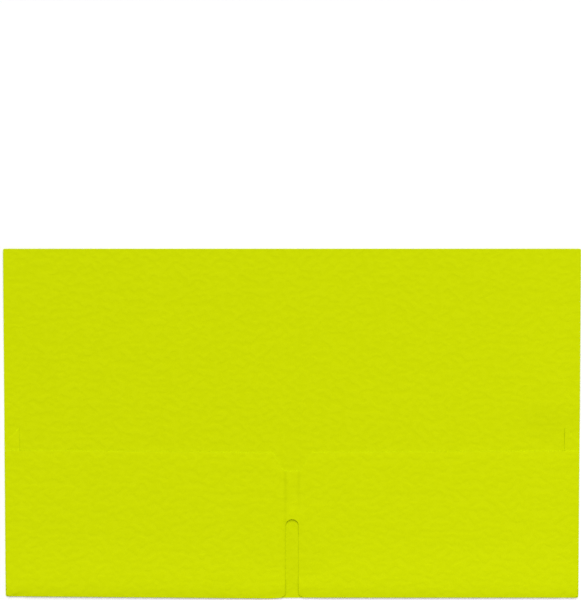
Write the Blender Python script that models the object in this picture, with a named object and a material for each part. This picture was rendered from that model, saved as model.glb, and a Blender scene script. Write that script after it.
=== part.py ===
# Two-pocket paper folder, lying open and flat with its inside up.
# One die-cut sheet, divided here at its scores and folds, with a line of glue at each side.
# Metres. +X is the back cover's side, +Y the top edge, +Z up from the table.
# The origin is on the table, under the middle of the open folder.

import math

import bpy
from mathutils import Vector

# The sheet
SHEET = 0.00035
LAYER_GAP = 0.0003
SCORE_GAP = 0.0003

# The two covers and the double-scored spine between them
COVER_WIDTH = 0.2400
COVER_HEIGHT = 0.2985
SPINE_WIDTH = 0.0114
CORNER_RADIUS = 0.0015

# The pocket layer, measured up from the bottom fold
POCKET_HEIGHT = 0.1245
POCKET_INSET = 0.0010
NOTCH_BOTTOM = 0.1090
NOTCH_MOUTH = 0.0316
NOTCH_RADIUS = 0.0030
SLOT_HEIGHT = 0.0682
SLOT_FLARE = 0.0030
BRIDGE_INSET = 0.0003
CORNER_RELIEF = 0.0060

# The glue tabs that fold in from the covers' outer edges
TAB_WIDTH = 0.0127
TAB_HEIGHT = 0.1340
TAB_SLANT = 0.0116
TAB_RADIUS = 0.0012

# The lines of glue between tab and pocket
GLUE_WIDTH = 0.0060
GLUE_LENGTH = 0.0960
GLUE_START = 0.0210
GLUE_THICKNESS = 0.0001

# Linear colours
PAPER_COLOUR = (0.617, 0.716, 0.001)
PAPER_ROUGHNESS = 0.7
GLUE_COLOUR = (0.80, 0.78, 0.66)
GLUE_ROUGHNESS = 0.4

# Steps in a half circle, and the length of an empty's arms
ARC_STEPS = 12
PIVOT_ARM = 0.02

# Heights of the layers over the table
TAB_LOW = SHEET + LAYER_GAP
GLUE_LOW = TAB_LOW + SHEET + LAYER_GAP
POCKET_LOW = GLUE_LOW + GLUE_THICKNESS + LAYER_GAP

# The folds roll each outer layer round from the cover under it
BOTTOM_ROLL = (POCKET_LOW + SHEET) / 2
SIDE_ROLL = (TAB_LOW + SHEET) / 2

# The spine turns about its creases, and the bridge swings past the pocket's edge
CREASE_X = SPINE_WIDTH / 2
BRIDGE_HALF = CREASE_X - BRIDGE_INSET
BRIDGE_SWEEP = math.hypot(BRIDGE_INSET, LAYER_GAP + SHEET)

# Lines of the flat plan, on the right-hand side
OUTER_X = CREASE_X + COVER_WIDTH
POCKET_IN_X = CREASE_X + BRIDGE_SWEEP + SCORE_GAP
POCKET_OUT_X = OUTER_X - POCKET_INSET
ROLL_IN_X = POCKET_IN_X + SLOT_FLARE
ROLL_OUT_X = OUTER_X - CORNER_RELIEF
ROLL_MIDDLE_X = (ROLL_IN_X + ROLL_OUT_X) / 2
SIDE_ROLL_X = OUTER_X - SIDE_ROLL
BOTTOM_Y = -COVER_HEIGHT / 2
TOP_Y = COVER_HEIGHT / 2
BOTTOM_ROLL_Y = BOTTOM_Y + BOTTOM_ROLL
POCKET_LOW_Y = BOTTOM_ROLL_Y + SCORE_GAP
POCKET_TOP_Y = BOTTOM_Y + POCKET_HEIGHT
NOTCH_Y = BOTTOM_Y + NOTCH_BOTTOM
TAB_LOW_Y = BOTTOM_Y + CORNER_RELIEF
TAB_TOP_Y = BOTTOM_Y + TAB_HEIGHT


def clear_scene():
    for obj in list(bpy.data.objects):
        bpy.data.objects.remove(obj)


def new_collection(name):
    collection = bpy.data.collections.new(name)
    bpy.context.scene.collection.children.link(collection)
    return collection


def new_material(name, colour, roughness):
    """The piece's own material, under the piece's name."""
    material = bpy.data.materials.new(name)
    material.use_nodes = True
    shader = material.node_tree.nodes["Principled BSDF"]
    shader.inputs["Base Color"].default_value = (*colour, 1.0)
    shader.inputs["Roughness"].default_value = roughness
    shader.inputs["Metallic"].default_value = 0.0
    return material


def seat(obj, carrier, place):
    """Puts the object at a place in the folder's frame, carried by an empty."""
    obj.parent = carrier
    obj.location = place
    while carrier:
        obj.location -= carrier.location
        carrier = carrier.parent


def new_pivot(name, carrier, x, y, z):
    """An empty on the axis that its pieces turn about."""
    pivot = bpy.data.objects.new(name, None)
    pivot.empty_display_size = PIVOT_ARM
    folder.objects.link(pivot)
    seat(pivot, carrier, Vector((x, y, z)))
    return pivot


def arc(centre, radius, start, end, steps):
    """Points along an arc, its angles in degrees."""
    points = []
    for step in range(steps + 1):
        angle = math.radians(start + (end - start) * step / steps)
        x = centre[0] + radius * math.cos(angle)
        y = centre[1] + radius * math.sin(angle)
        points.append((x, y))
    return points


def rounded(before, corner, after, radius):
    """Points round an outline's corner, on a curve that is tangent to both of its sides."""
    before = Vector(before)
    corner = Vector(corner)
    after = Vector(after)
    half = (before - corner).angle(after - corner) / 2
    reach = radius / math.tan(half)
    first = corner + (before - corner).normalized() * reach
    last = corner + (after - corner).normalized() * reach
    steps = ARC_STEPS // 2
    points = []
    for step in range(steps + 1):
        t = step / steps
        point = first.lerp(corner, t).lerp(corner.lerp(last, t), t)
        points.append((point.x, point.y))
    return points


def mirrored(points, side):
    """The outline on the right for side 1, and its mirror image on the left for side -1."""
    if side > 0:
        return points
    return [(-x, y) for x, y in reversed(points)]


def plate(name, outline, thickness, colour, roughness):
    """A flat outline with its thickness, centred on its own plane."""
    curve = bpy.data.curves.new(name, "CURVE")
    curve.dimensions = "2D"
    curve.fill_mode = "BOTH"
    curve.extrude = thickness / 2
    spline = curve.splines.new("POLY")
    spline.points.add(len(outline) - 1)
    for point, (x, y) in zip(spline.points, outline):
        point.co = (x, y, 0.0, 1.0)
    spline.use_cyclic_u = True
    curve.materials.append(new_material(name, colour, roughness))
    piece = bpy.data.objects.new(name, curve)
    folder.objects.link(piece)
    return piece


def paper(name, outline, thickness):
    return plate(name, outline, thickness, PAPER_COLOUR, PAPER_ROUGHNESS)


def layer(name, outline, low, carrier):
    """A flat stretch of the sheet with its underside at that height."""
    piece = paper(name, outline, SHEET)
    seat(piece, carrier, Vector((0.0, 0.0, low + SHEET / 2)))


def rolled_section(radius, start):
    """Half a ring of the sheet, out along its outer arc and back along its inner one."""
    outer = arc((0.0, 0.0), radius, start, start + 180, ARC_STEPS)
    inner = arc((0.0, 0.0), radius - SHEET, start + 180, start, ARC_STEPS)
    return outer + inner


def cover_outline():
    """A cover, let in where the bottom fold and the side fold begin."""
    in_x = CREASE_X + SCORE_GAP / 2
    low_in_x = ROLL_IN_X - SCORE_GAP
    low_out_x = ROLL_OUT_X + SCORE_GAP
    side_x = SIDE_ROLL_X - SCORE_GAP
    side_low_y = TAB_LOW_Y - SCORE_GAP
    side_top_y = TAB_TOP_Y + SCORE_GAP
    points = [(in_x, BOTTOM_Y), (low_in_x, BOTTOM_Y), (low_in_x, POCKET_LOW_Y)]
    points += [(low_out_x, POCKET_LOW_Y), (low_out_x, BOTTOM_Y)]
    corner = (OUTER_X, BOTTOM_Y)
    points += rounded((low_out_x, BOTTOM_Y), corner, (OUTER_X, side_low_y), CORNER_RADIUS)
    points += [(OUTER_X, side_low_y), (side_x, side_low_y)]
    points += [(side_x, side_top_y), (OUTER_X, side_top_y)]
    points += [(OUTER_X, TOP_Y), (in_x, TOP_Y)]
    return points


def spine_outline():
    half = CREASE_X - SCORE_GAP / 2
    return [(-half, BOTTOM_Y), (half, BOTTOM_Y), (half, TOP_Y), (-half, TOP_Y)]


def pocket_outline():
    """A pocket's front, with its half of the notch, its cut outer corner and its flared slot."""
    out_cut = (POCKET_OUT_X, POCKET_LOW_Y + POCKET_OUT_X - ROLL_OUT_X)
    out_top = (POCKET_OUT_X, POCKET_TOP_Y)
    mouth = (NOTCH_MOUTH / 2, POCKET_TOP_Y)
    throat = (POCKET_IN_X, NOTCH_Y)
    flare_centre = (POCKET_IN_X + SLOT_FLARE, POCKET_LOW_Y + SLOT_FLARE)
    points = [(ROLL_OUT_X, POCKET_LOW_Y), out_cut, out_top]
    points += rounded(out_top, mouth, throat, NOTCH_RADIUS)
    points.append(throat)
    points += arc(flare_centre, SLOT_FLARE, 180, 270, ARC_STEPS // 2)
    return points


def bridge_outline():
    """The strip that joins the pockets over the spine, with the slot's round end under it."""
    centre_y = BOTTOM_Y + SLOT_HEIGHT - CREASE_X
    reach = math.degrees(math.acos(BRIDGE_HALF / CREASE_X))
    arch = arc((0.0, centre_y), CREASE_X, 180 - reach, reach, ARC_STEPS)
    return arch + [(BRIDGE_HALF, NOTCH_Y), (-BRIDGE_HALF, NOTCH_Y)]


def tab_outline():
    """A glue tab, with both ends cut on a slant."""
    out_x = SIDE_ROLL_X - SCORE_GAP
    in_x = OUTER_X - TAB_WIDTH
    out_low = (out_x, TAB_LOW_Y)
    out_top = (out_x, TAB_TOP_Y)
    in_top = (in_x, TAB_TOP_Y + TAB_SLANT)
    in_low = (in_x, TAB_LOW_Y + TAB_SLANT)
    points = [out_low, out_top]
    points += rounded(out_top, in_top, in_low, TAB_RADIUS)
    points += rounded(in_top, in_low, out_low, TAB_RADIUS)
    return points


def glue_outline():
    """A line of glue with round ends, along the middle of the tab."""
    x = OUTER_X - TAB_WIDTH / 2
    low_y = BOTTOM_Y + GLUE_START
    radius = GLUE_WIDTH / 2
    points = arc((x, low_y + radius), radius, 180, 360, ARC_STEPS)
    points += arc((x, low_y + GLUE_LENGTH - radius), radius, 0, 180, ARC_STEPS)
    return points


def make_bottom_fold(name, side, carrier):
    """The rolled bottom edge, from under the cover up to the pocket's front."""
    piece = paper(name, rolled_section(BOTTOM_ROLL, 90), ROLL_OUT_X - ROLL_IN_X)
    piece.rotation_euler = (math.radians(90), 0.0, math.radians(90))
    seat(piece, carrier, Vector((side * ROLL_MIDDLE_X, BOTTOM_ROLL_Y, BOTTOM_ROLL)))


def make_side_fold(name, side, carrier):
    """The rolled outer edge, from under the cover up to its glue tab."""
    section = mirrored(rolled_section(SIDE_ROLL, -90), side)
    piece = paper(name, section, TAB_TOP_Y - TAB_LOW_Y)
    piece.rotation_euler = (math.radians(90), 0.0, 0.0)
    middle_y = (TAB_LOW_Y + TAB_TOP_Y) / 2
    seat(piece, carrier, Vector((side * SIDE_ROLL_X, middle_y, SIDE_ROLL)))


def make_glue_line(name, side, carrier):
    outline = mirrored(glue_outline(), side)
    piece = plate(name, outline, GLUE_THICKNESS, GLUE_COLOUR, GLUE_ROUGHNESS)
    seat(piece, carrier, Vector((0.0, 0.0, GLUE_LOW + GLUE_THICKNESS / 2)))


def make_half(label, cover_name, side, carrier):
    """A cover with all that stays fast to it, and the pocket's front that lifts off it."""
    layer(cover_name, mirrored(cover_outline(), side), 0.0, carrier)
    make_bottom_fold(label + "_bottom_fold", side, carrier)
    make_side_fold(label + "_side_fold", side, carrier)
    layer(label + "_glue_tab", mirrored(tab_outline(), side), TAB_LOW, carrier)
    make_glue_line(label + "_glue_line", side, carrier)
    hinge_x = side * ROLL_MIDDLE_X
    pivot = new_pivot(label + "_pocket_pivot", carrier, hinge_x, BOTTOM_ROLL_Y, BOTTOM_ROLL)
    layer(label + "_pocket", mirrored(pocket_outline(), side), POCKET_LOW, pivot)


def make_spine(carrier):
    layer("spine_band", spine_outline(), 0.0, carrier)
    layer("pocket_bridge", bridge_outline(), TAB_LOW, carrier)


clear_scene()
folder = new_collection("pocket_folder")

back_pivot = new_pivot("back_cover_pivot", None, 0.0, 0.0, 0.0)
spine_pivot = new_pivot("spine_fold_pivot", back_pivot, CREASE_X, 0.0, SHEET)
front_pivot = new_pivot("cover_fold_pivot", spine_pivot, -CREASE_X, 0.0, SHEET)

make_half("right", "back_cover", 1, back_pivot)
make_half("left", "front_cover", -1, front_pivot)
make_spine(spine_pivot)
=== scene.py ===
import math

import bmesh
import bpy
import numpy as np
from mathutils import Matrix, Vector


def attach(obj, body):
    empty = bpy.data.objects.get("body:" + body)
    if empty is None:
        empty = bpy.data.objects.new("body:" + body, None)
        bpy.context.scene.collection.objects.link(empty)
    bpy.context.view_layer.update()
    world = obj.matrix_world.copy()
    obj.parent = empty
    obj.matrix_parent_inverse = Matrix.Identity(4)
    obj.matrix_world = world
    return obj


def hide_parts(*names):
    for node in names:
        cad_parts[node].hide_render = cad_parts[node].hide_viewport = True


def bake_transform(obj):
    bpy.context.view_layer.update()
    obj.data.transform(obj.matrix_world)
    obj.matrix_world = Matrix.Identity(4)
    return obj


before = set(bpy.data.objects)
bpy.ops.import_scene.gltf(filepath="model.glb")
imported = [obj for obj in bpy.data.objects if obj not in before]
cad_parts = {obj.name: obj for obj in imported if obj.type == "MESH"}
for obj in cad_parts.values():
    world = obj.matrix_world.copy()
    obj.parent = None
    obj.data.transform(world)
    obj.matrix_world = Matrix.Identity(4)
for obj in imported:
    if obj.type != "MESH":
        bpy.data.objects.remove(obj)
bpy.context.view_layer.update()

# The card before it is folded. Lengths are in metres; x runs across the open folder, y up its pages.
sheet = {
    "thickness": 0.00035,
    "halfWidth": 0.2454,
    "halfHeight": 0.1495,
    "cornerRadius": 0.0015,
    "scoreX": 0.0057,          # the two scores of the spine
    "scoreDepth": 0.00012,
    "waveHeight": 0.0003,      # card is never quite flat
    "waveLength": 0.11,
    "seed": 7.0,
    "sharpAngle": 35,          # degrees; a sharper bend is a cut edge
    "weld": 0.000002,          # points nearer than this are one point
}

noiseSpan = (0.3, 0.7)         # nearly all values of a noise texture lie in here


# Sums in a node tree, written as plain arithmetic: each one adds a Math node
class Number:
    def __init__(self, tree, socket):
        self.tree = tree
        self.socket = socket

    def math(self, operation, *others):
        node = self.tree.nodes.new("ShaderNodeMath")
        node.operation = operation
        for entry, value in zip(node.inputs, (self, *others)):
            feed(self.tree, entry, value)
        return Number(self.tree, node.outputs[0])

    def __add__(self, other):
        return self.math("ADD", other)

    def __sub__(self, other):
        return self.math("SUBTRACT", other)

    def __rsub__(self, other):
        return self.math("MULTIPLY_ADD", -1.0, other)

    def __mul__(self, other):
        return self.math("MULTIPLY", other)

    def __truediv__(self, other):
        return self.math("DIVIDE", other)

    def __rtruediv__(self, other):
        return self.math("POWER", -1.0) * other

    __radd__ = __add__
    __rmul__ = __mul__

    def atLeast(self, value):
        return self.math("MAXIMUM", value)

    def atMost(self, value):
        return self.math("MINIMUM", value)

    # goes smoothly from one value to another between two places
    def eased(self, start, end, before=0.0, after=1.0):
        node = self.tree.nodes.new("ShaderNodeMapRange")
        node.interpolation_type = "SMOOTHSTEP"
        for entry, value in zip(node.inputs, (self, start, end, before, after)):
            feed(self.tree, entry, value)
        return Number(self.tree, node.outputs[0])

    # a noise texture's value, spread out between two others
    def spread(self, before=0.0, after=1.0):
        return self.eased(*noiseSpan, before, after)


def feed(tree, socket, value):
    if isinstance(value, Number):
        value = value.socket
    if isinstance(value, bpy.types.NodeSocket):
        tree.links.new(value, socket)
    else:
        socket.default_value = value


# a geometry tree with a number input for each entry, and one for its material
def newTree(name, numbers, material):
    tree = bpy.data.node_groups.new(name, "GeometryNodeTree")
    addInput(tree, "Geometry", "NodeSocketGeometry")
    for label, value in numbers.items():
        addInput(tree, label, "NodeSocketInt" if isinstance(value, int) else "NodeSocketFloat", value)
    addInput(tree, material, "NodeSocketMaterial")
    tree.interface.new_socket(name="Geometry", in_out="OUTPUT", socket_type="NodeSocketGeometry")
    return tree


def addInput(tree, name, kind, value=None):
    socket = tree.interface.new_socket(name=name, in_out="INPUT", socket_type=kind)
    if value is not None:
        socket.default_value = value


def givenInputs(tree):
    return {socket.name: Number(tree, socket) for socket in tree.nodes.new("NodeGroupInput").outputs}


def setInputs(modifier, values):
    for item in modifier.node_group.interface.items_tree:
        if item.item_type == "SOCKET" and item.in_out == "INPUT" and item.name in values:
            modifier[item.identifier] = values[item.name]


def positionIn(tree):
    place = tree.nodes.new("GeometryNodeInputPosition")
    apart = tree.nodes.new("ShaderNodeSeparateXYZ")
    tree.links.new(place.outputs[0], apart.inputs[0])
    return [Number(tree, socket) for socket in apart.outputs]


def vectorOf(tree, *values):
    node = tree.nodes.new("ShaderNodeCombineXYZ")
    for entry, value in zip(node.inputs, values):
        feed(tree, entry, value)
    return node.outputs[0]


# moves the geometry, makes it real, paints it and leaves the tree
def finishTree(tree, geometry, position, material):
    move = tree.nodes.new("GeometryNodeSetPosition")
    feed(tree, move.inputs["Geometry"], geometry)
    feed(tree, move.inputs["Position"], position)
    real = tree.nodes.new("GeometryNodeRealizeInstances")
    tree.links.new(move.outputs[0], real.inputs[0])
    paint = tree.nodes.new("GeometryNodeSetMaterial")
    tree.links.new(real.outputs[0], paint.inputs["Geometry"])
    feed(tree, paint.inputs["Material"], material)
    last = tree.nodes.new("NodeGroupOutput")
    tree.links.new(paint.outputs[0], last.inputs[0])
    return tree


def newObject(name, data):
    obj = bpy.data.objects.new(name, data)
    bpy.context.scene.collection.objects.link(obj)
    return obj


# a plain mesh of what an object's modifiers make
def madeMesh(obj):
    return bpy.data.meshes.new_from_object(obj.evaluated_get(bpy.context.evaluated_depsgraph_get()))


# The tree that folds flat card. Each piece gives it only the inputs that it needs.
foldDefaults = {
    "Card thickness": sheet["thickness"],
    "Bottom fold line": -1.0,      # far off the sheet, so nothing is folded
    "Bottom fold radius": 0.001,
    "Bottom fold pinch": 1.0,
    "Swell height": 0.0,
    "Swell length": 0.0085,
    "Swell at spine": 0.5,
    "Settle": 0.0,
    "Settle at spine": 0.0,
    "Settle start": 0.005,
    "Settle length": 0.055,
    "Settle length at spine": 0.022,
    "Side fold line": 1.0,
    "Side fold radius": 0.0005,
    "Side fold pinch": 1.0,
    "Score line": sheet["scoreX"],
    "Score depth": sheet["scoreDepth"],
    "Score width": 0.0009,
    "Score fade": 0.018,
    "Tab step": 0.0,
    "Fold end drop": 0.0,
    "Crease drop": 0.0,
    "Crease line": -0.0012,        # its height above the bottom fold, at the sheet's outer edge
    "Crease slant": 0.29,
    "Crease width": 0.0007,
    "Slot lift": 0.0,
    "Slot top": 0.0,
    "Slot lift reach": 0.01,
    "Mouth bow": 0.0,
    "Mouth bow low": -0.13,
    "Mouth line": 0.0,
    "Lip width": 0.005,
    "Lip curl": 0.0,
    "Lip curl outside": 1.0,
    "Ear lift": 0.0,
    "Ear line": 0.0,
    "Ear start": 0.001,            # below the ear's line
    "Ear reach": 0.014,            # and above it
    "Tab width": 0.0127,
    "Corner lift": 0.0,
    "Bulge height": 0.0,
    "Bulge x": 0.222,
    "Bulge y": 0.016,
    "Bulge reach": 0.03,
    "Bulge length below": 0.018,
    "Bulge length above": 0.07,
    "Wave height": sheet["waveHeight"],
    "Wave length": sheet["waveLength"],
    "Wave seed": sheet["seed"],
    "Fold skew": 0.0,
    "Skew pivot": 0.1,
    "Mouth skew": 0.0,
}

# Each form comes or goes between two places: across from the spine, up the page or above the bottom fold
foldSpans = {
    "Swell across": (0.01, 0.05),
    "Settle across": (0.012, 0.05),
    "Tab step across": (0.226, 0.2335),
    "Tab step above": (0.008, 0.06),
    "Fold end across": (0.009, 0.03),
    "Fold end above": (0.0, 0.012),
    "Crease across": (0.225, 0.232),
    "Slot lift across": (0.0, 0.012),
    "Mouth bow across": (0.012, 0.238),
    "Lip curl across": (0.195, 0.235),
    "Corner lift across": (0.13, 0.25),
    "Corner lift up": (0.02, 0.15),
    "Fold skew up": (-0.149, 0.0),
    "Mouth skew up": (-0.14, -0.03),
    "Skew across": (0.004, 0.02),
}


def spanInputs(spans):
    ends = {}
    for name, (start, end) in spans.items():
        ends[name + " from"] = start
        ends[name + " to"] = end
    return ends


def over(given, span, value, before=0.0, after=1.0):
    return value.eased(given[span + " from"], given[span + " to"], before, after)


# one half turn at most, on a round or pressed fold: how far along, up and beyond the fold each point gets
def rolledOver(past, radius, pinch):
    turn = (past / radius).atMost(math.pi)
    beyond = (past - radius * math.pi).atLeast(0.0)
    out = radius * turn.math("SINE")
    rise = radius * (1.0 - turn.math("COSINE")) * pinch
    return turn / math.pi, out, rise, beyond


# the pocket's front, as its rise over a flat one
def pocketForm(given, x, y, upper):
    above = (y - given["Bottom fold line"]).atLeast(0.0) * upper
    share = 1.0 - (above / given["Swell length"]).atMost(1.0)
    swell = (1.0 - share * share) * given["Swell height"]
    swell = swell * over(given, "Swell across", x, given["Swell at spine"])

    # it settles, fast at first, onto the cover
    length = over(given, "Settle across", x, given["Settle length at spine"], given["Settle length"])
    left = (1.0 - ((above - given["Settle start"]) / length).atLeast(0.0)).atLeast(0.0)
    down = 1.0 - left * left * left * (4.0 - left * 3.0)
    settle = given["Settle"] + over(given, "Settle across", x, given["Settle at spine"], 0.0)
    form = swell * (1.0 - down) - down * settle

    # it steps up onto the glue tab
    step = over(given, "Tab step across", x) * over(given, "Tab step above", above)
    form = form + step * given["Tab step"]

    # the fold is flatter beside the slot, and a crease runs across the lower outer corner
    low = over(given, "Fold end above", above, 1.0, 0.0) * upper
    form = form - over(given, "Fold end across", x, 1.0, 0.0) * low * given["Fold end drop"]
    crease = given["Crease line"] + (sheet["halfWidth"] - x) * given["Crease slant"]
    low = above.eased(crease - given["Crease width"], crease + given["Crease width"], 1.0, 0.0) * upper
    form = form - over(given, "Crease across", x) * low * given["Crease drop"]

    # it springs up over the slot's end, and bows at the mouth
    spring = (y - given["Slot top"]) / given["Slot lift reach"]
    spring = (spring * spring * -1.0).math("EXPONENT")
    spring = spring * over(given, "Slot lift across", x, 1.0, 0.0) * upper
    form = form + spring * given["Slot lift"]
    bow = (over(given, "Mouth bow across", x) * math.pi).math("SINE")
    bow = bow * y.eased(given["Mouth bow low"], given["Mouth line"]) * upper
    return form + bow * given["Mouth bow"]


# the card stands up a little over the ear of the tab, where the pocket no longer holds it down
def bulgeForm(given, x, y):
    sideways = (x - given["Bulge x"]) / given["Bulge reach"]
    above = (y - given["Bulge y"]).atLeast(0.0) / given["Bulge length above"]
    below = (given["Bulge y"] - y).atLeast(0.0) / given["Bulge length below"]
    square = sideways * sideways + above * above + below * below
    return (square * -1.0).math("EXPONENT") * given["Bulge height"]


# a shallow valley along each score
def scoreValley(given, x):
    away = (x - given["Score line"]).math("ABSOLUTE")
    square = away * away
    rim = square / (square + given["Score width"] * given["Score width"])
    return rim * (away / given["Score fade"] * -1.0).math("EXPONENT") * given["Score depth"]


# slow waves, which run on from piece to piece
def waveRise(tree, given, x, y):
    wave = tree.nodes.new("ShaderNodeTexNoise")
    wave.inputs["Detail"].default_value = 1.0
    feed(tree, wave.inputs["Scale"], 1.0 / given["Wave length"])
    feed(tree, wave.inputs["Vector"], vectorOf(tree, x, y, given["Wave seed"] * given["Wave length"]))
    return Number(tree, wave.outputs[0]) * given["Wave height"]


def foldCardTree():
    tree = newTree("foldCard", {**foldDefaults, **spanInputs(foldSpans)}, "Card")
    given = givenInputs(tree)
    flatX, flatY, _ = positionIn(tree)
    across = flatX.math("ABSOLUTE")
    side = flatX.math("SIGN")
    half = given["Card thickness"] * 0.5

    # over the bottom fold
    past = (given["Bottom fold line"] - flatY).atLeast(0.0)
    radius = given["Bottom fold radius"] - half
    upper, out, rise, beyond = rolledOver(past, radius, given["Bottom fold pinch"])
    y = flatY.atLeast(given["Bottom fold line"]) - out + beyond
    z = rise + half

    # round the outer edge
    past = (across - given["Side fold line"]).atLeast(0.0)
    radius = given["Side fold radius"] - half
    _, out, rise, beyond = rolledOver(past, radius, given["Side fold pinch"])
    x = across.atMost(given["Side fold line"]) + out - beyond
    z = z + rise
    free = y.eased(given["Ear line"] - given["Ear start"], given["Ear line"] + given["Ear reach"])
    z = z + beyond / given["Tab width"] * free * given["Ear lift"]

    z = z + scoreValley(given, x) + pocketForm(given, x, y, upper) + bulgeForm(given, x, y)

    # a cut lip turns down
    edge = tree.nodes.new("GeometryNodeInputNamedAttribute")
    edge.data_type = "FLOAT"
    edge.inputs["Name"].default_value = "lipDistance"
    lip = (1.0 - Number(tree, edge.outputs["Attribute"]) / given["Lip width"]).atLeast(0.0)
    lip = lip * lip * given["Lip curl"]
    z = z - lip * over(given, "Lip curl across", x, 1.0, given["Lip curl outside"])

    # waves, and free corners that stand off the table
    z = z + waveRise(tree, given, x * side, y)
    z = z + over(given, "Corner lift across", x) * over(given, "Corner lift up", y) * given["Corner lift"]

    # a fold that runs a little out of square takes its pocket with it
    lasting = over(given, "Fold skew up", y, 1.0, 0.0).atLeast(upper)
    aside = (x - given["Skew pivot"]) * over(given, "Skew across", x)
    mouthward = upper * over(given, "Mouth skew up", y)
    y = y + aside * (lasting * given["Fold skew"] + mouthward * given["Mouth skew"])
    return finishTree(tree, given["Geometry"], vectorOf(tree, x * side, y, z), given["Card"])


# Materials. The card's two faces differ a little: the press works on the outside.
card = {
    # each face's light colour is for the painted highlight on high bumps and on worn lips; its dark one
    # is for random mottle and the painted shade at outer edges
    "inside": {
        "colour": (0.606, 0.712, 0.0008, 1.0),
        "light": (0.650, 0.757, 0.0030, 1.0),
        "dark": (0.556, 0.659, 0.0006, 1.0),
        "pressHeight": 0.00009,
        "raised": True,
    },
    "outside": {
        "colour": (0.612, 0.719, 0.0008, 1.0),
        "light": (0.656, 0.764, 0.0030, 1.0),
        "dark": (0.562, 0.666, 0.0006, 1.0),
        "pressHeight": 0.00009,
        "raised": False,
    },
    # painted shade in the scores' grooves, with their darker pressed line
    "score": (0.47, 0.56, 0.0004, 1.0),
    "cutFibre": (0.66, 0.75, 0.02, 1.0),
    "roughness": (0.64, 0.76),
    "specular": 0.14,
    "specularTint": (0.86, 1.0, 0.03, 1.0),
    "pressFineShare": 0.16,    # height of the fine bumps against the large ones
    "grainHeight": 0.000012,
    "mottleShade": 0.2,
    "pressHighlight": 0.2,
    "pressHighlightFrom": 0.4,     # painted highlight: only the higher bumps are lighter
    "lipWearAndHighlightStrength": (0.1, 0.4),
    "edgeShade": 0.45,
    "cutRoughness": 0.85,
    "cutSpecular": 0.1,
    "cutFibreHeight": 0.00003,
}

# Noise on the flat sheet; the scale is in bumps per metre, across and up
texture = {
    "press": {"scale": (175.0, 200.0, 1.0), "detail": 0.0, "roughness": 0.5, "distortion": 0.3},
    "pressFine": {"scale": (420.0, 620.0, 1.0), "detail": 1.0, "roughness": 0.5, "distortion": 0.4},
    "grain": {"scale": (1500.0, 1500.0, 1.0), "detail": 2.0, "roughness": 0.6, "distortion": 0.0},
    "mottle": {"scale": (40.0, 110.0, 1.0), "detail": 2.0, "roughness": 0.5, "distortion": 0.0},
    "fibre": {"scale": (2500.0, 2500.0, 1.0), "detail": 3.0, "roughness": 0.6, "distortion": 0.0},
}


def shaderTree(name):
    material = bpy.data.materials.new(name)
    material.use_nodes = True
    tree = material.node_tree
    return material, tree, tree.nodes["Principled BSDF"]


# the noise is laid out on the flat sheet, so it runs on round the folds
def sheetNoise(tree, look):
    spot = tree.nodes.new("ShaderNodeUVMap")
    spot.uv_map = "sheetUV"
    mapping = tree.nodes.new("ShaderNodeMapping")
    mapping.inputs["Scale"].default_value = look["scale"]
    tree.links.new(spot.outputs[0], mapping.inputs["Vector"])
    node = tree.nodes.new("ShaderNodeTexNoise")
    node.inputs["Scale"].default_value = 1.0
    node.inputs["Detail"].default_value = look["detail"]
    node.inputs["Roughness"].default_value = look["roughness"]
    node.inputs["Distortion"].default_value = look["distortion"]
    tree.links.new(mapping.outputs[0], node.inputs["Vector"])
    return Number(tree, node.outputs[0])


def attributeOf(tree, name):
    node = tree.nodes.new("ShaderNodeAttribute")
    node.attribute_name = name
    return Number(tree, node.outputs["Fac"])


def mixColour(tree, factor, first, second):
    node = tree.nodes.new("ShaderNodeMix")
    node.data_type = "RGBA"
    feed(tree, node.inputs["Factor"], factor)
    feed(tree, node.inputs[6], first)      # 6 and 7 are its colours
    feed(tree, node.inputs[7], second)
    return node.outputs[2]


def bumpBy(tree, height, distance, before=None):
    node = tree.nodes.new("ShaderNodeBump")
    node.inputs["Distance"].default_value = distance
    feed(tree, node.inputs["Height"], height)
    if before is not None:
        tree.links.new(before, node.inputs["Normal"])
    return node.outputs[0]


def cardMaterial(name, face):
    material, tree, shader = shaderTree(name)
    press = sheetNoise(tree, texture["press"])
    fine = sheetNoise(tree, texture["pressFine"])
    grain = sheetNoise(tree, texture["grain"])
    mottle = sheetNoise(tree, texture["mottle"])
    height = press.spread() + fine * card["pressFineShare"]
    if not face["raised"]:
        height = 1.0 - height
    colour = mixColour(tree, mottle.spread(0.0, card["mottleShade"]), face["colour"], face["dark"])
    # painted highlight: the higher bumps of the press are lighter
    raised = press.eased(card["pressHighlightFrom"], noiseSpan[1], 0.0, card["pressHighlight"])
    colour = mixColour(tree, raised, colour, face["light"])
    # a cut lip is lighter: rubbed wear, and painted highlight
    wearAndHighlight = attributeOf(tree, "lipWearAndHighlight") * grain.spread(*card["lipWearAndHighlightStrength"])
    colour = mixColour(tree, wearAndHighlight, colour, face["light"])
    # painted shade along the outer edges
    shaded = attributeOf(tree, "edgeShade") * card["edgeShade"]
    colour = mixColour(tree, shaded, colour, face["dark"])
    # painted shade along the scores, with their darker pressed line
    colour = mixColour(tree, attributeOf(tree, "scoreShade"), colour, card["score"])
    tree.links.new(colour, shader.inputs["Base Color"])
    feed(tree, shader.inputs["Roughness"], grain.spread(*card["roughness"]))
    shader.inputs["Specular IOR Level"].default_value = card["specular"]
    shader.inputs["Specular Tint"].default_value = card["specularTint"]
    normal = bumpBy(tree, height, face["pressHeight"])
    normal = bumpBy(tree, grain, card["grainHeight"], normal)
    tree.links.new(normal, shader.inputs["Normal"])
    return material


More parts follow.
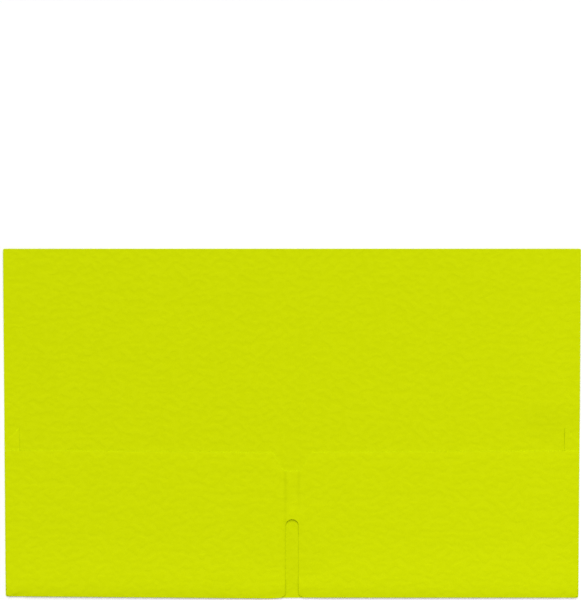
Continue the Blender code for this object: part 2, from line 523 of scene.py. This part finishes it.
# the sheet's cut edge shows its fibres
def cutEdgeMaterial():
    material, tree, shader = shaderTree("cutEdge")
    fibre = sheetNoise(tree, texture["fibre"])
    colour = mixColour(tree, fibre.spread(), card["outside"]["colour"], card["cutFibre"])
    tree.links.new(colour, shader.inputs["Base Color"])
    shader.inputs["Roughness"].default_value = card["cutRoughness"]
    shader.inputs["Specular IOR Level"].default_value = card["cutSpecular"]
    tree.links.new(bumpBy(tree, fibre, card["cutFibreHeight"]), shader.inputs["Normal"])
    return material


cardInside = cardMaterial("limeCardInside", card["inside"])
cardOutside = cardMaterial("limeCardOutside", card["outside"])
cutEdge = cutEdgeMaterial()
cardFaces = (cardInside, cutEdge, cardOutside)
foldCard = foldCardTree()
print("card materials and folding tree made")


# Flat blanks: grids of quads, with these distances between their lines
spacing = {
    "open": 0.0034,            # plain stretches
    "near": 0.0012,            # towards a fold's end or a tab's
    "turn": 0.001,
    "step": 0.0009,            # at the step onto the tab and in the middle of the spine
    "fold": 0.0007,            # at the bottom fold's end beside the slot
    "seam": 0.0006,
    "corner": 0.0004,
    "edge": 0.0003,
    "besideSlot": 0.00025,
    "lip": 0.00022,
    "slot": 0.0002,
    "score": 0.00018,
}


# places through (place, spacing) stops, with a spacing that changes evenly from stop to stop
def stations(*stops):
    places = [stops[0][0]]
    for (start, fine), (end, coarse) in zip(stops, stops[1:]):
        count = max(1, round(abs(end - start) / ((fine + coarse) / 2)))
        steps = np.linspace(fine, coarse, count)
        places.extend(start + np.cumsum(steps / steps.sum()) * (end - start))
        places[-1] = end
    return np.array(places)


# grid of quads in the sheet's plane; each column has its own rows
def newBlank(xs, ys):
    mesh = bmesh.new()
    made = [[mesh.verts.new((x, y, 0.0)) for x, y in zip(*column)] for column in zip(xs, ys)]
    for first, second in zip(made, made[1:]):
        for j in range(len(first) - 1):
            mesh.faces.new((first[j], second[j], second[j + 1], first[j + 1]))
    return mesh


def gridOf(columns, rows):
    return np.repeat(columns[:, None], len(rows), 1), np.repeat(rows[None, :], len(columns), 0)


# columns at the given x, each with rows at the given shares between low(x) and high(x)
def gridBetween(columns, low, high, shares):
    xs = np.repeat(columns[:, None], len(shares), 1)
    lows = np.array([low(x) for x in columns])[:, None]
    highs = np.array([high(x) for x in columns])[:, None]
    return xs, lows + (highs - lows) * np.asarray(shares)[None, :]


def joined(blanks):
    mesh = blanks[0]
    for other in blanks[1:]:
        verts = {v: mesh.verts.new(v.co) for v in other.verts}
        for face in other.faces:
            mesh.faces.new([verts[v] for v in face.verts])
        other.free()
    bmesh.ops.remove_doubles(mesh, verts=list(mesh.verts), dist=sheet["weld"])
    return mesh


# distance from each point to the nearest of some paths of straight stretches
def distanceTo(points, paths):
    best = np.full(len(points), 1.0)
    for path in paths:
        for start, end in zip(path, path[1:]):
            a = np.array(start)
            d = np.array(end) - a
            t = np.clip((points - a) @ d / (d @ d), 0, 1)
            best = np.minimum(best, np.linalg.norm(points - a - t[:, None] * d, axis=1))
    return best


wearAndShade = {
    "lipWidth": 0.0016,        # a cut lip is rubbed lighter, and painted lighter as a highlight where it catches the light
    "rimWidth": 0.0015,        # painted shade: an outer edge is a little darker
    "scoreWidth": 0.0014,
}


# the blank as a mesh, mirrored for the left side, with its place on the sheet as UV
def flatMesh(blank, name, side):
    if side < 0:
        bmesh.ops.scale(blank, vec=(-1, 1, 1), verts=list(blank.verts))
        bmesh.ops.reverse_faces(blank, faces=list(blank.faces))
    uv = blank.loops.layers.uv.new("sheetUV")
    for face in blank.faces:
        for loop in face.loops:
            loop[uv].uv = loop.vert.co.xy
    mesh = bpy.data.meshes.new(name)
    blank.to_mesh(mesh)
    blank.free()
    return mesh


# how rubbed each point is, with its painted highlight and painted shade, for the materials, and how far
# from a lip, for the fold
def markWearAndShade(mesh, lips, rims, scoreShade):
    points = np.array([(abs(v.co.x), v.co.y) for v in mesh.vertices])
    lipDistance = distanceTo(points, lips)
    score = np.zeros(len(points))
    if scoreShade:
        score = np.exp(-((points[:, 0] - sheet["scoreX"]) / wearAndShade["scoreWidth"]) ** 2)
        score = score * np.array([scoreShade(y) for y in points[:, 1]])
    values = {
        "lipDistance": lipDistance,
        "lipWearAndHighlight": np.clip(1 - lipDistance / wearAndShade["lipWidth"], 0, 1),
        "edgeShade": np.clip(1 - distanceTo(points, rims) / wearAndShade["rimWidth"], 0, 1),
        "scoreShade": score,
    }
    for label, value in values.items():
        attribute = mesh.attributes.new(label, "FLOAT", "POINT")
        attribute.data.foreach_set("value", value.astype(np.float32))


# folds a flat blank, gives it its thickness and leaves a plain mesh
def pieceFrom(blank, name, side, inputs, lips=(), rims=(), scoreShade=None):
    mesh = flatMesh(blank, name, side)
    markWearAndShade(mesh, lips, rims, scoreShade)
    for material in cardFaces:
        mesh.materials.append(material)
    obj = newObject(name, mesh)
    fold = obj.modifiers.new("fold", "NODES")
    fold.node_group = foldCard
    setInputs(fold, {**inputs, "Card": cardInside})
    wall = obj.modifiers.new("thickness", "SOLIDIFY")
    wall.thickness = sheet["thickness"]
    wall.offset = 0.0
    wall.material_offset_rim = cardFaces.index(cutEdge)
    wall.material_offset = cardFaces.index(cardOutside)
    done = madeMesh(obj)
    obj.modifiers.clear()
    obj.data = done
    done.name = name
    while len(done.materials) < len(cardFaces):
        done.materials.append(None)
    for i, material in enumerate(cardFaces):
        done.materials[i] = material
    done.shade_smooth()
    done.set_sharp_from_angle(angle=math.radians(sheet["sharpAngle"]))
    return obj


# turns the grid points of a square corner onto a round one
def roundCorner(points, centreX, centreY, radiusX, radiusY):
    least = 0.000001           # points on the corner's straight limits stay
    for point in points:
        a = (point.co.x - centreX) / radiusX
        b = (point.co.y - centreY) / radiusY
        if min(a, b) > least:
            point.co.x = centreX + radiusX * a * math.sqrt(1 - b * b / 2)
            point.co.y = centreY + radiusY * b * math.sqrt(1 - a * a / 2)


# Covers, each with its half of the spine
bottomFold = {
    "line": -0.1488,           # where the card leaves the table
    "radius": 0.0007,          # outside radius
    "pinch": 1.0,              # height of the fold, as a share of a round one
    "insideX": 0.0087,
    "outsideX": 0.2430,
    "flatBefore": 0.0015,      # flat card on the fold's piece, on the cover's side
    "flatAfter": 0.0005,       # and on the pocket's side
    "steps": 20,
    "stepsBefore": 4,
    "stepsAfter": 2,
    "openX": (0.035, 0.215),   # plain between these, here and on the covers
    "skew": {1: 0.0, -1: 0.0084},  # the left fold runs a little out of square
}

sideFold = {
    "line": 0.2449,
    "radius": 0.0005,
    "pinch": 0.72,
    "flatBefore": 0.0015,
    "steps": 14,
    "stepsBefore": 4,
}

# length of card on the outer edge's roll
sideRoll = math.pi * (sideFold["radius"] - sheet["thickness"] / 2)

cover = {
    "cornerLift": 0.0006,
    "bulge": {1: 0.0012, -1: 0.0},  # height of the right cover's bulge above its pocket
    "scoreZone": 0.0006,       # half width of the zone in which a score bends
    "scoreRim": 0.0007,        # close grid lines on a score, up to here
    "scoreFoot": 0.0016,       # wider ones from here
    "openY": -0.115,           # plain from here up
    "tabEndRows": 0.01,        # closer rows start this far below the tab's end
    "pastTabY": 0.01,          # and plain again here
    "topRows": 0.02,
}


def coverInputs(side):
    return {
        "Corner lift": cover["cornerLift"],
        "Bulge height": cover["bulge"][side],
        "Fold skew": bottomFold["skew"][side],
    }


def coverBlank():
    score = sheet["scoreX"]
    outside = sheet["halfWidth"]
    low = -sheet["halfHeight"]
    high = sheet["halfHeight"]
    r = sheet["cornerRadius"]
    coarse = spacing["open"]
    near = spacing["near"]
    edge = spacing["edge"]
    rim = cover["scoreRim"]
    openStart, openEnd = bottomFold["openX"]
    seamX = sideFold["line"] - sideFold["flatBefore"]
    seamY = bottomFold["line"] + bottomFold["flatBefore"]
    columns = stations(
        (0.0, spacing["step"]), (score - cover["scoreFoot"], edge),
        (score - rim, spacing["score"]), (score + rim, spacing["score"]),
        (bottomFold["insideX"], spacing["fold"]), (openStart, coarse), (openEnd, coarse),
        (bottomFold["outsideX"], near), (seamX, spacing["seam"]), (outside - r, edge), (outside, edge))
    rows = stations(
        (low, edge), (low + r, edge), (seamY, spacing["corner"]), (tab["low"], near),
        (cover["openY"], coarse), (tab["top"] - cover["tabEndRows"], coarse), (tab["top"], near),
        (cover["pastTabY"], coarse), (high - cover["topRows"], coarse),
        (high - r, spacing["corner"]), (high, edge))
    blank = newBlank(*gridOf(columns, rows))
    away = []
    for face in blank.faces:
        x, y = face.calc_center_median().xy
        rolled = bottomFold["insideX"] < x < bottomFold["outsideX"] and y < seamY
        folded = x > seamX and tab["low"] < y < tab["top"]
        if rolled or folded:
            away.append(face)
    bmesh.ops.delete(blank, geom=away, context="FACES")
    roundCorner(blank.verts, outside - r, high - r, r, r)
    roundCorner(blank.verts, outside - r, low + r, r, -r)
    return blank


def makeCover(name, side, nodes):
    x = sheet["halfWidth"]
    y = sheet["halfHeight"]
    outer = [(0.0, y), (x, y), (x, -y)]
    obj = pieceFrom(coverBlank(), name, side, coverInputs(side), rims=[outer])
    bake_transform(obj)
    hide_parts(*nodes)


# Glue tabs, which turn in round the outer edge
tab = {
    "width": 0.0127,
    "low": -0.14325,
    "top": -0.01525,
    "slant": 0.0116,
    "earLift": {1: 0.0002, -1: 0.0},
    "lipWidth": 0.002,
    "lipCurl": 0.00006,
    "lipColumns": 0.0024,      # closer columns start this far from the inner edge
    "endRows": 0.02,           # and closer rows this far from both ends
}


# how far an end of the tab has gone up: level on the roll, then slanting up to the inner edge
def tabRise(s):
    flat = tab["width"] - (sheet["halfWidth"] - sideFold["line"])
    return tab["slant"] * min(max((s - sideRoll) / flat, 0.0), 1.0)


def makeTab(label, side, body):
    line = sideFold["line"]
    roll = line + sideRoll
    end = roll + tab["width"] - (sheet["halfWidth"] - line)
    columns = np.concatenate([
        np.linspace(line - sideFold["flatBefore"], line, sideFold["stepsBefore"] + 1)[:-1],
        np.linspace(line, roll, sideFold["steps"] + 1)[:-1],
        stations((roll, spacing["corner"]), (end - tab["lipColumns"], spacing["near"]),
                 (end, spacing["edge"])),
    ])
    length = tab["top"] - tab["low"]
    shares = stations((0.0, spacing["turn"]), (tab["endRows"], spacing["open"]),
                      (length - tab["endRows"], spacing["open"]), (length, spacing["seam"])) / length
    grid = gridBetween(columns, lambda x: tab["low"] + tabRise(x - line),
                       lambda x: tab["top"] + tabRise(x - line), shares)
    inputs = {
        "Side fold line": line,
        "Side fold radius": sideFold["radius"],
        "Side fold pinch": sideFold["pinch"],
        "Tab width": tab["width"],
        "Ear lift": tab["earLift"][side],
        "Ear line": pocket["top"],
        "Bulge height": cover["bulge"][side],
        "Lip width": tab["lipWidth"],
        "Lip curl": tab["lipCurl"],
        "Fold skew": bottomFold["skew"][side],
    }
    edge = [(end, tab["low"] + tab["slant"]), (end, tab["top"] + tab["slant"]), (roll, tab["top"])]
    obj = pieceFrom(newBlank(*grid), label + "_glue_tab_sheet", side, inputs, lips=[edge])
    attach(obj, body)
    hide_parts(label + "_side_fold", label + "_glue_tab")


# Pocket layer: the pocket fronts, and the bridge that joins them over the spine
pocket = {
    "top": -0.0239,
    "outsideX": 0.2444,
    "middleX": 0.1247,         # the front is two pieces that meet here
    "mouthHalf": 0.0158,       # half the notch, at its mouth
    "throatX": 0.0069,
    "notchBottom": -0.0405,
    "notchRadius": 0.004,
    "notchSoft": 0.0012,       # rounds both ends of the notch's slanted cut
    "slotHalf": 0.0056,
    "slotTop": -0.0816,
    "slotFlare": 0.0031,
    "swell": 0.00042,          # the card swells behind its fold
    "settle": 0.00048,         # and comes down on the cover further up
    "settleAtSpine": 0.00008,  # a little more beside the slot
    "foldEndDrop": 0.00045,    # the fold is pressed flatter at its end beside the slot
    "creaseDrop": {1: 0.00015, -1: 0.0004},  # step at the crease across the front's lower outer corner
    "cornerCut": 0.5,          # slant of the cut beside the fold's outer end
    "tabStep": 0.0004,         # the front climbs this much onto the glue tab
    "slotLift": 0.00066,       # the bridge springs up over the slot's round end
    "bow": 0.00008,
    "lipWidth": 0.0065,
    "lipCurl": 0.00013,
    "lipCurlOutside": {1: 1.0, -1: 0.0},  # share that is left of it at the outer edge
    "mouthSkew": {1: 0.0055, -1: 0.0},
    "scoreShade": {1: (0.0, 0.26), -1: (0.22, 0.36)},  # painted shade of each score, at its lower and upper end
    "shadeFrom": 0.004,        # above the slot
    "shadeTo": 0.012,          # below the notch
}

# Grid lines of the pocket layer
pocketGrid = {
    "openX": (0.04, 0.22),     # plain between these
    "pastMouth": 0.003,        # close columns reach this far past the notch
    "pastScore": 0.0012,       # and past the bridge's scores
    "stepX": 0.236,            # on the slope of the step onto the tab
    "openRows": 0.012,         # plain this far from both ends
    "lipRows": 0.0016,         # closest rows, down to here from the cut edge
    "arcSteps": 18,            # half of the slot's round end
    "flareSteps": 40,
    "lipEndX": 0.022,          # the cut edge is straight from here outwards
    "lipSteps": 66,
}


def foldInputs(side):
    return {
        "Bottom fold line": bottomFold["line"],
        "Bottom fold radius": bottomFold["radius"],
        "Bottom fold pinch": bottomFold["pinch"],
        "Swell height": pocket["swell"],
        "Settle": pocket["settle"],
        "Settle at spine": pocket["settleAtSpine"],
        "Tab step": pocket["tabStep"],
        "Fold end drop": pocket["foldEndDrop"],
        "Crease drop": pocket["creaseDrop"][side],
        "Slot lift": pocket["slotLift"],
        "Slot top": pocket["slotTop"],
        "Mouth bow": pocket["bow"],
        "Mouth line": pocket["top"],
        "Lip width": pocket["lipWidth"],
        "Lip curl": pocket["lipCurl"],
        "Lip curl outside": pocket["lipCurlOutside"][side],
        "Fold skew": bottomFold["skew"][side],
        "Mouth skew": pocket["mouthSkew"][side],
    }


# a place on the pocket's front, as a place on the flat sheet beyond the bottom fold; it works both ways
def rolledY(y):
    middle = bottomFold["radius"] - sheet["thickness"] / 2
    return 2 * bottomFold["line"] - math.pi * middle - y


# about 0 below 0 and about the height itself above it, with a soft turn between
def softTurn(height):
    soft = pocket["notchSoft"]
    most = 60                  # keeps the exponent small enough
    return soft * math.log1p(math.exp(min(height / soft, most)))


# height of the pocket's cut top edge, with its notch over the spine
def mouthY(x):
    top = pocket["top"]
    bottom = pocket["notchBottom"]
    throat = pocket["throatX"]
    mouth = pocket["mouthHalf"]
    if x > mouth + pocket["notchRadius"]:
        return top
    straight = bottom + (x - throat) * (top - bottom) / (mouth - throat)
    low = bottom + softTurn(straight - bottom)
    if x <= throat:
        return low
    return top - softTurn(top - low)


# height of the slot's round upper end
def slotY(x):
    half = pocket["slotHalf"]
    return pocket["slotTop"] - half + math.sqrt(max(half * half - x * x, 0.0))


# lower end of the strip beside the slot, which flares out at the bottom fold
def flareY(x):
    r = pocket["slotFlare"]
    dx = pocket["slotHalf"] + r - x
    return bottomFold["line"] + bottomFold["flatAfter"] + r - math.sqrt(max(r * r - dx * dx, 0.0))


# lower end of the front, cut off at a slant at its outer corner
def frontLowY(x):
    past = max(0.0, x - bottomFold["outsideX"])
    return bottomFold["line"] + bottomFold["flatAfter"] + past * pocket["cornerCut"]


# row shares from 0 to 1, finer at the two ends
def shareRows(low, middle, height):
    ends = pocketGrid["openRows"]
    lip = spacing["lip"]
    return stations((0.0, low), (ends, middle), (height - ends, middle),
                    (height - pocketGrid["lipRows"], lip), (height, lip)) / height


def turnedOver(blank):
    for vert in blank.verts:
        vert.co.y = rolledY(vert.co.y)
    bmesh.ops.reverse_faces(blank, faces=list(blank.faces))
    return blank


def lipPath():
    xs = [*np.linspace(0, pocketGrid["lipEndX"], pocketGrid["lipSteps"] + 1), pocket["outsideX"]]
    return [(x, rolledY(mouthY(x))) for x in xs]


def makeBottomFold(name, side, body, node):
    line = bottomFold["line"]
    after = rolledY(line)
    openStart, openEnd = bottomFold["openX"]
    columns = stations((bottomFold["insideX"], spacing["fold"]), (openStart, spacing["open"]),
                       (openEnd, spacing["open"]), (bottomFold["outsideX"], spacing["near"]))
    rows = np.concatenate([
        np.linspace(rolledY(line + bottomFold["flatAfter"]), after, bottomFold["stepsAfter"] + 1)[:-1],
        np.linspace(after, line, bottomFold["steps"] + 1),
        np.linspace(line, line + bottomFold["flatBefore"], bottomFold["stepsBefore"] + 1)[1:],
    ])
    obj = pieceFrom(newBlank(*gridOf(columns, rows)), name, side, foldInputs(side))
    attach(obj, body)
    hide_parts(node)


def makeFront(name, side, columns, node):
    height = pocket["top"] - bottomFold["line"] - bottomFold["flatAfter"]
    shares = shareRows(spacing["turn"], spacing["open"], height)
    blank = turnedOver(newBlank(*gridBetween(columns, frontLowY, mouthY, shares)))
    obj = pieceFrom(blank, name, side, foldInputs(side), lips=[lipPath()])
    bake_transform(obj)
    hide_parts(node)


def makeBridge(name, side):
    half = pocket["slotHalf"]
    start = pocket["slotTop"] - half       # where the slot's round end starts
    shares = shareRows(spacing["edge"], spacing["near"], pocket["notchBottom"] - start)
    lowShares = np.linspace(0, 1, pocketGrid["flareSteps"] + 1)
    middle = half * np.sin(np.linspace(0, math.pi / 2, pocketGrid["arcSteps"] + 1))
    beside = stations(
        (half, spacing["slot"]), (sheet["scoreX"] + pocketGrid["pastScore"], spacing["besideSlot"]),
        (bottomFold["insideX"], spacing["seam"]))
    blank = turnedOver(joined([
        newBlank(*gridBetween(middle, slotY, mouthY, shares)),
        newBlank(*gridBetween(beside, lambda x: start, mouthY, shares)),
        newBlank(*gridBetween(beside, flareY, lambda x: start, lowShares)),
    ]))
    low = pocket["slotTop"] + pocket["shadeFrom"]
    high = pocket["notchBottom"] - pocket["shadeTo"]
    faint, strong = pocket["scoreShade"][side]

    def shade(flatY):
        share = min(max((rolledY(flatY) - low) / (high - low), 0.0), 1.0)
        return faint + (strong - faint) * share

    obj = pieceFrom(blank, name, side, foldInputs(side), lips=[lipPath()], scoreShade=shade)
    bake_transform(obj)
    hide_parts("pocket_bridge")


def makePocket(label, side):
    node = label + "_pocket"
    coarse = spacing["open"]
    openStart, openEnd = pocketGrid["openX"]
    inner = stations(
        (bottomFold["insideX"], spacing["seam"]),
        (pocket["mouthHalf"] + pocketGrid["pastMouth"], spacing["seam"]),
        (openStart, coarse), (pocket["middleX"], coarse))
    outer = stations(
        (pocket["middleX"], coarse), (openEnd, coarse), (pocketGrid["stepX"], spacing["step"]),
        (bottomFold["outsideX"], spacing["turn"]), (pocket["outsideX"], spacing["corner"]))
    makeFront(node + "_inner", side, inner, node)
    makeFront(node + "_outer", side, outer, node)
    makeBridge(label + "_bridge_half", side)


makeCover("back_cover_sheet", 1, ["back_cover", "spine_band"])
makeCover("front_cover_sheet", -1, ["front_cover", "spine_band"])
print("covers made")
makeTab("right", 1, "back")
makeTab("left", -1, "front")
print("glue tabs made")
makeBottomFold("right_bottom_fold_roll", 1, "back", "right_bottom_fold")
makeBottomFold("left_bottom_fold_roll", -1, "front", "left_bottom_fold")
makePocket("right", 1)
makePocket("left", -1)
print("pocket layer made")


# Lines of glue, each a bead that the press has flattened
glue = {
    "x": 0.23935,
    "low": -0.12825,
    "high": -0.03225,
    "width": 0.006,
    "height": 0.00016,
    "bottomZ": 0.00081,        # on the glue tab
    "unevenness": 0.0006,
    "seed": {1: 3, -1: 11},
    "sections": 120,           # along the bead
    "blur": 6,                 # evens out its width
    "bluntness": 24.0,         # how suddenly its ends close
    "leastEnd": 0.0004,        # their width squared, as a share
    "ringPoints": 12,
    "pathSteps": 40,
    "wander": 0.0003,          # to the sides
    "wanderTurn": 0.7,
    "cloudScale": 260.0,
    "roughness": (0.32, 0.5),
    "grainHeight": 0.00003,
    "colour": (0.80, 0.78, 0.66, 1.0),
    "aged": (0.70, 0.69, 0.50, 1.0),
}

beadDefaults = {
    "Bead width": glue["width"],
    "Bead height": glue["height"],
    "Bead bottom": glue["bottomZ"],
    "Unevenness": glue["unevenness"],
    "Blur": glue["blur"],
    "Sections": glue["sections"],
    "Ring points": glue["ringPoints"],
    "Bluntness": glue["bluntness"],
    "Least end": glue["leastEnd"],
    "Wave height": sheet["waveHeight"],
    "Wave length": sheet["waveLength"],
    "Wave seed": sheet["seed"],
    "Seed": 0,
}


def glueMaterial():
    material, tree, shader = shaderTree("driedGlue")
    place = tree.nodes.new("ShaderNodeTexCoord")
    cloud = tree.nodes.new("ShaderNodeTexNoise")
    cloud.inputs["Scale"].default_value = glue["cloudScale"]
    tree.links.new(place.outputs["Object"], cloud.inputs["Vector"])
    cloud = Number(tree, cloud.outputs[0])
    colour = mixColour(tree, cloud.spread(), glue["colour"], glue["aged"])
    tree.links.new(colour, shader.inputs["Base Color"])
    feed(tree, shader.inputs["Roughness"], cloud.spread(*glue["roughness"]))
    tree.links.new(bumpBy(tree, cloud, glue["grainHeight"]), shader.inputs["Normal"])
    return material


def glueTree():
    tree = newTree("glueBead", beadDefaults, "Glue")
    given = givenInputs(tree)
    again = tree.nodes.new("GeometryNodeResampleCurve")
    feed(tree, again.inputs["Count"], given["Sections"])
    feed(tree, again.inputs["Curve"], given["Geometry"])

    # an uneven width with blunt ends
    spread = tree.nodes.new("FunctionNodeRandomValue")
    spread.data_type = "FLOAT"
    feed(tree, spread.inputs[2], given["Unevenness"] * -1.0)    # 2 and 3 are its limits
    feed(tree, spread.inputs[3], given["Unevenness"])
    feed(tree, spread.inputs["Seed"], given["Seed"])
    blur = tree.nodes.new("GeometryNodeBlurAttribute")
    feed(tree, blur.inputs["Iterations"], given["Blur"])
    feed(tree, blur.inputs[0], given["Bead width"] * 0.5 + Number(tree, spread.outputs[1]))
    along = tree.nodes.new("GeometryNodeSplineParameter")
    fromMiddle = (Number(tree, along.outputs["Factor"]) * 2.0 - 1.0).math("ABSOLUTE")
    blunt = 1.0 - fromMiddle.math("POWER", given["Bluntness"])
    blunt = blunt.atLeast(given["Least end"]).math("SQRT")
    radius = Number(tree, blur.outputs[0]) * blunt

    profile = tree.nodes.new("GeometryNodeCurvePrimitiveCircle")
    feed(tree, profile.inputs["Resolution"], given["Ring points"])
    profile.inputs["Radius"].default_value = 1.0
    sweep = tree.nodes.new("GeometryNodeCurveToMesh")
    sweep.inputs["Fill Caps"].default_value = True
    tree.links.new(again.outputs[0], sweep.inputs["Curve"])
    tree.links.new(profile.outputs[0], sweep.inputs["Profile Curve"])
    feed(tree, sweep.inputs["Scale"], radius)
    x, y, z = positionIn(tree)
    z = z * (given["Bead height"] / given["Bead width"])
    z = z + given["Bead bottom"] + given["Bead height"] * 0.5 + waveRise(tree, given, x, y)
    return finishTree(tree, sweep.outputs[0], vectorOf(tree, x, y, z), given["Glue"])


def makeGlue(label, side, body, tree, material):
    name = label + "_glue_bead"
    curve = bpy.data.curves.new(name, "CURVE")
    curve.dimensions = "3D"
    spline = curve.splines.new("POLY")
    spline.points.add(glue["pathSteps"])
    for i, point in enumerate(spline.points):
        x = glue["x"] + glue["wander"] * math.sin(i * glue["wanderTurn"] + side)
        y = glue["low"] + (glue["high"] - glue["low"]) * i / glue["pathSteps"]
        point.co = (side * x, y, 0.0, 1.0)
    source = newObject(name + "_path", curve)
    bead = source.modifiers.new("bead", "NODES")
    bead.node_group = tree
    setInputs(bead, {"Seed": glue["seed"][side], "Glue": material})
    mesh = madeMesh(source)
    bpy.data.objects.remove(source)
    mesh.name = name
    mesh.shade_smooth()
    obj = newObject(name, mesh)
    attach(obj, body)
    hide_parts(label + "_glue_line")


glueBead = glueTree()
driedGlue = glueMaterial()
makeGlue("right", 1, "back", glueBead, driedGlue)
makeGlue("left", -1, "front", glueBead, driedGlue)
print("glue lines made")


# Studio
studio = {
    "floorHalf": 4.0,
    "floorZ": -0.00005,
    "floorColour": (0.93, 0.93, 0.93, 1.0),
    "floorRoughness": 0.9,
    "floorGlow": 0.1,          # seen by the camera only, so the floor is white and keeps its shadows
    "sunElevation": 38.0,
    "sunAzimuth": 0.0,         # from the top edge towards the right
    "sunAngle": 50.0,          # a wide soft light
    "sunDistance": 2.0,
    "sunShare": 0.52,          # share of the light on a level surface
    "worldShare": 0.44,
    "sideAt": (0.75, -0.35, 0.55),
    "sideSize": 0.6,
    "sidePower": 0.7,
}

camera = {
    "distance": 1.5,
    "tilt": 2.7,               # degrees; the top edge is nearer
    "centre": (-0.0013, 0.1059),
    "viewHeight": 0.5103,
    "sensorWidth": 36.0,       # millimetres
}


def pointFrom(obj, towards):
    obj.rotation_mode = "QUATERNION"
    obj.rotation_quaternion = Vector(towards).to_track_quat("Z", "Y")


def makeFloor():
    half = studio["floorHalf"]
    z = studio["floorZ"]
    mesh = bpy.data.meshes.new("floor")
    corners = [(-half, -half, z), (half, -half, z), (half, half, z), (-half, half, z)]
    mesh.from_pydata(corners, [], [(0, 1, 2, 3)])
    floor = newObject("floor", mesh)
    material, tree, shader = shaderTree("paleFloor")
    shader.inputs["Base Color"].default_value = studio["floorColour"]
    shader.inputs["Roughness"].default_value = studio["floorRoughness"]
    shader.inputs["Specular IOR Level"].default_value = 0.0
    shader.inputs["Emission Color"].default_value = (1.0, 1.0, 1.0, 1.0)
    rays = tree.nodes.new("ShaderNodeLightPath")
    glow = Number(tree, rays.outputs["Is Camera Ray"]) * studio["floorGlow"]
    feed(tree, shader.inputs["Emission Strength"], glow)
    mesh.materials.append(material)


def makeWorld():
    world = bpy.data.worlds.new("studioLight")
    world.use_nodes = True
    bpy.context.scene.world = world
    tree = world.node_tree
    background = tree.nodes["Background"]
    background.inputs["Color"].default_value = (1.0, 1.0, 1.0, 1.0)
    rays = tree.nodes.new("ShaderNodeLightPath")
    seen = Number(tree, rays.outputs["Is Camera Ray"])
    seen = seen.atLeast(Number(tree, rays.outputs["Is Glossy Ray"]))
    seen = seen.atLeast(Number(tree, rays.outputs["Is Transmission Ray"]))
    level = seen * (1.0 - studio["worldShare"]) + studio["worldShare"]
    feed(tree, background.inputs["Strength"], level)


def makeLamps():
    up = math.radians(studio["sunElevation"])
    aside = math.radians(studio["sunAzimuth"])
    towards = Vector((math.sin(aside) * math.cos(up), math.cos(aside) * math.cos(up), math.sin(up)))
    light = bpy.data.lights.new("key", "SUN")
    light.energy = studio["sunShare"] * math.pi / math.sin(up)
    light.angle = math.radians(studio["sunAngle"])
    key = newObject("key", light)
    key.location = towards * studio["sunDistance"]
    pointFrom(key, towards)
    light = bpy.data.lights.new("side", "AREA")
    light.energy = studio["sidePower"]
    light.size = studio["sideSize"]
    soft = newObject("side", light)
    soft.location = studio["sideAt"]
    pointFrom(soft, studio["sideAt"])


def makeCamera():
    lens = bpy.data.cameras.new("photoView")
    lens.sensor_width = camera["sensorWidth"]
    lens.lens = camera["sensorWidth"] * camera["distance"] / camera["viewHeight"]
    obj = newObject("photoView", lens)
    tilt = math.radians(camera["tilt"])
    x, y = camera["centre"]
    obj.location = (x, y + camera["distance"] * math.sin(tilt), camera["distance"] * math.cos(tilt))
    obj.rotation_euler = (-tilt, 0.0, 0.0)
    bpy.context.scene.camera = obj


makeFloor()
makeWorld()
makeLamps()
makeCamera()
bpy.context.scene.view_settings.view_transform = "Standard"
print("studio and camera made")

bpy.context.view_layer.update()
